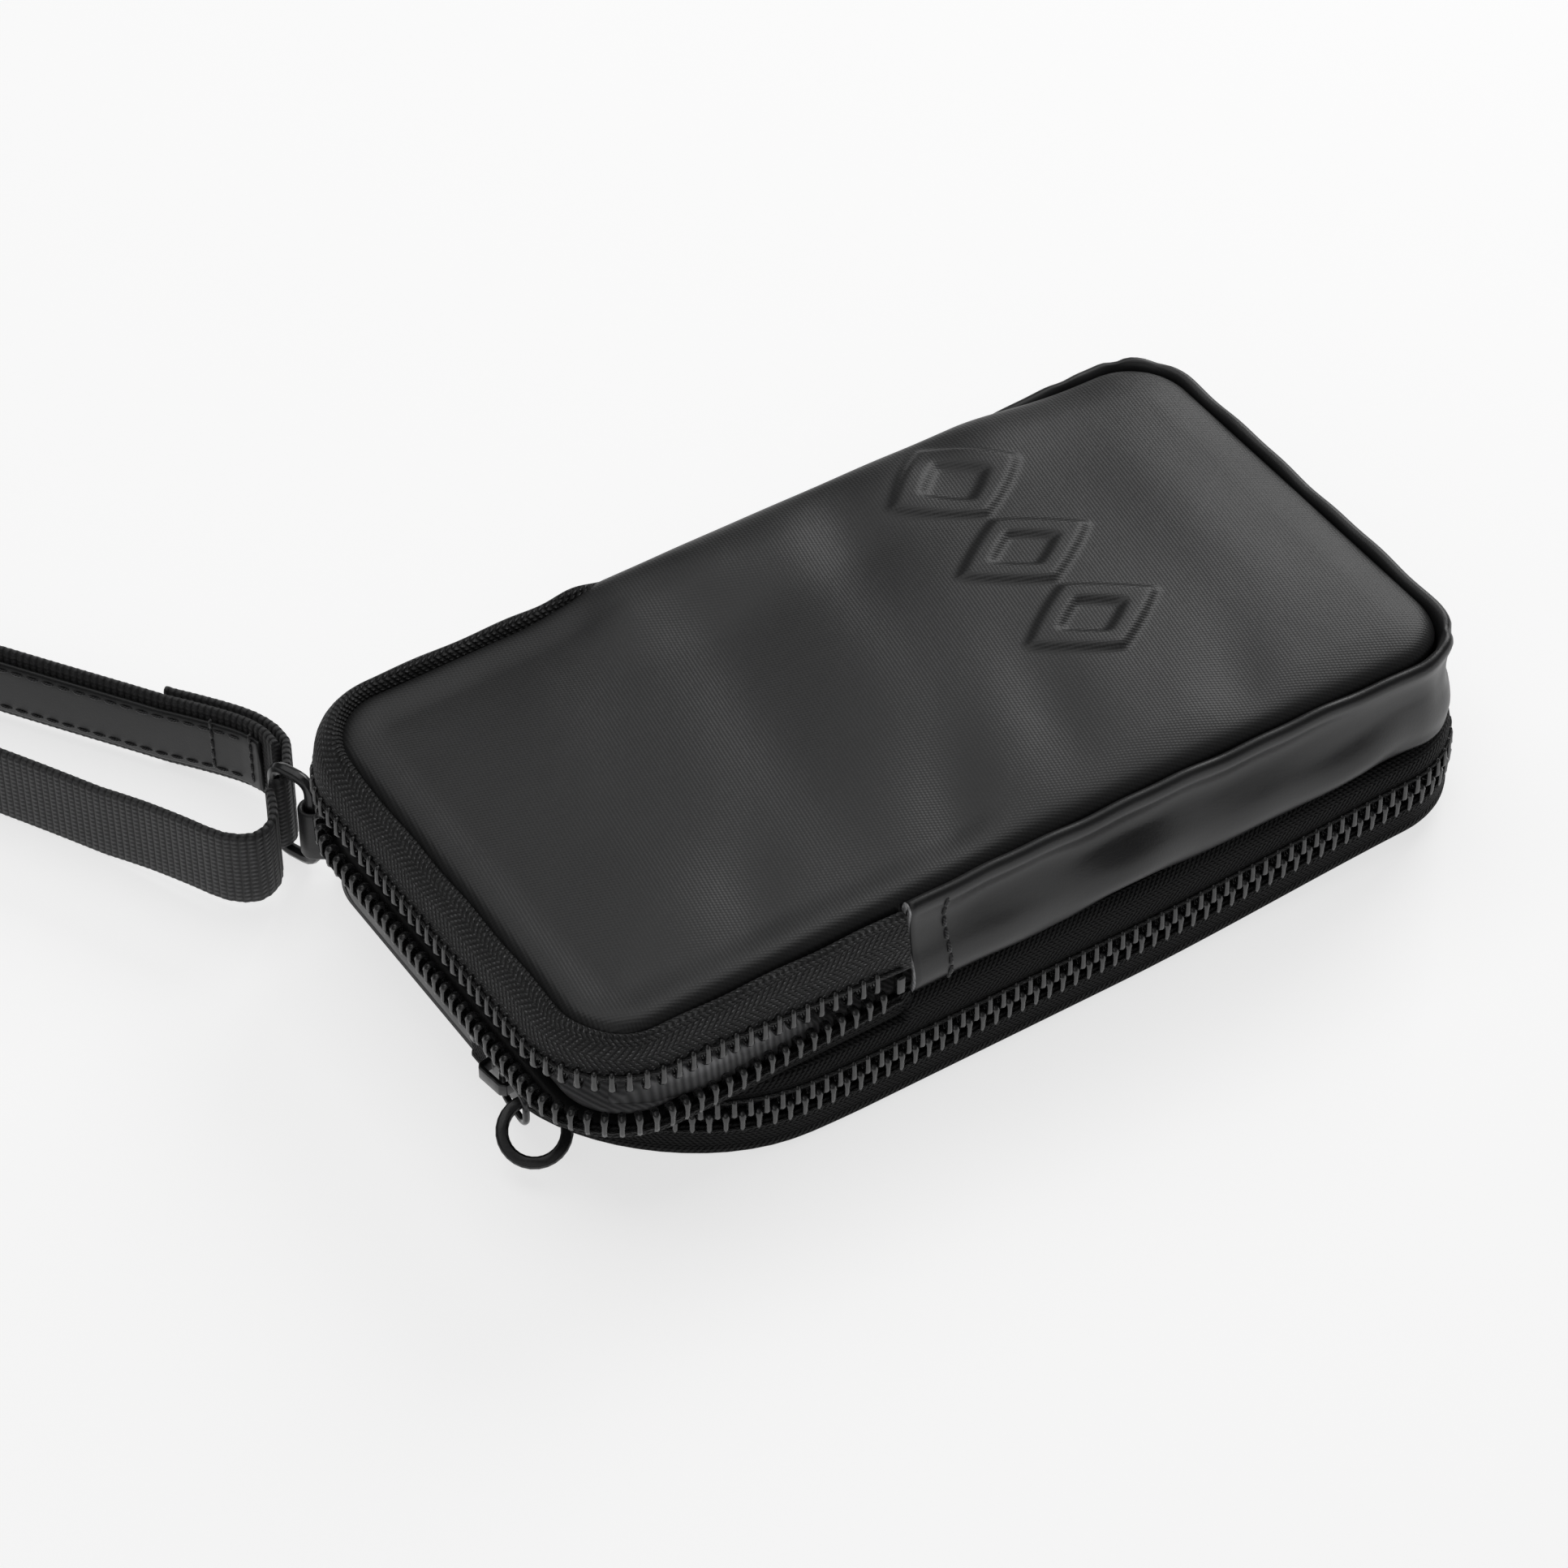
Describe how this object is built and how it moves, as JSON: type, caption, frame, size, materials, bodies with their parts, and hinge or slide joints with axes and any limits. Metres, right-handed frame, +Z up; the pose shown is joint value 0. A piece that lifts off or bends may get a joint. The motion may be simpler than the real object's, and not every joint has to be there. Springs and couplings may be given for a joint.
{
  "type": "zippered pouch",
  "caption": "Soft flat pouch with two zipped compartments, a lifting end flap, ring zip pulls and a webbing wrist strap",
  "frame": {"origin": "middle of the back panel's flat underside, on which the pouch lies", "axes": "+Z up out of the front panel, +X towards the closed short end, -Y towards the long side with the zips"},
  "size_m": [0.2418, 0.2079, 0.0364],
  "materials": {
    "canvas": "matte coated canvas with a fine twill",
    "panel_leather": "smooth coated leather-like band, soft satin",
    "tape": "woven herringbone zip tape, matte",
    "tooth": "glossy moulded teeth",
    "metal": "black enamel on metal, glossy",
    "lining": "light grey finely ribbed lining",
    "foam": "thin padding, matte",
    "webbing": "ribbed woven webbing, matte",
    "strap_leather": "coated strip with stitching, satin"
  },
  "bodies": {
    "back_cover": {"back_panel": "canvas", "back_foam": "foam", "back_lining": "lining", "lower_zip_tape_bottom": "tape", "lower_zip_teeth_bottom": "tooth", "spine": "panel_leather", "end_gusset_left": "panel_leather", "end_gusset_right": "panel_leather", "zip_end_stop": "metal", "strap_tab": "strap_leather"},
    "main": {"front_panel": "canvas", "front_foam": "foam", "front_lining": "lining", "upper_gusset": "panel_leather", "divider_panel": "panel_leather", "divider_lining_upper": "lining", "divider_lining_lower": "lining", "lower_zip_tape_top": "tape", "lower_zip_teeth_top": "tooth", "mouth_lower_tape": "tape", "mouth_lower_teeth": "tooth", "zip_bottom_stop": "metal"},
    "flap": {"flap_panel": "canvas", "flap_foam": "foam", "flap_lining": "lining", "upper_tape": "tape", "upper_teeth": "tooth"},
    "upper_slider": {"upper_slider": "metal"},
    "upper_link": {"upper_pull_link": "metal"},
    "upper_ring": {"upper_pull_ring": "metal"},
    "lower_slider": {"lower_slider": "metal"},
    "lower_link": {"lower_pull_link": "metal"},
    "lower_ring": {"lower_pull_ring": "metal"},
    "strap": {"strap_ring": "metal", "strap_webbing": "webbing", "strap_overlay": "strap_leather", "strap_tail": "webbing"}
  },
  "joints": [
    {"name": "main_open", "type": "hinge", "parent": "back_cover", "child": "main", "pos_m": [0, 0.046, 0.0162], "axis": [-1, 0, 0], "range_deg": [0, 40]},
    {"name": "flap_lift", "type": "hinge", "parent": "main", "child": "flap", "pos_m": [-0.026, 0, 0.0366], "axis": [0, 1, 0], "range_deg": [-4, 70]},
    {"name": "upper_zip_slide", "type": "slide", "parent": "main", "child": "upper_slider", "axis": [-1, 0, 0], "range_m": [0, 0.025]},
    {"name": "upper_link_turn", "type": "hinge", "parent": "upper_slider", "child": "upper_link", "pos_m": [-0.0322, 0.04875, 0.0232], "axis": [0, 0, 1], "range_deg": [-5, 95]},
    {"name": "upper_ring_turn", "type": "hinge", "parent": "upper_link", "child": "upper_ring", "pos_m": [-0.02557, 0.05322, 0.0232], "axis": [0, 0, 1], "range_deg": [-12, 25]},
    {"name": "lower_zip_travel", "type": "hinge", "parent": "back_cover", "child": "lower_slider", "pos_m": [-0.0453, -0.0113, 0.0088], "axis": [0, 0, 1], "range_deg": [0, 74]},
    {"name": "lower_link_turn", "type": "hinge", "parent": "lower_slider", "child": "lower_link", "pos_m": [-0.08314, -0.01763, 0.0088], "axis": [0, 0, 1], "range_deg": [-140, 0]},
    {"name": "lower_ring_turn", "type": "hinge", "parent": "lower_link", "child": "lower_ring", "pos_m": [-0.0837, -0.02561, 0.0088], "axis": [0, 0, 1], "range_deg": [-25, 12]},
    {"name": "strap_swing", "type": "hinge", "parent": "back_cover", "child": "strap", "pos_m": [-0.0805, 0.0456, 0.0104], "axis": [0, 0, 1], "range_deg": [-20, 25]}
  ]
}
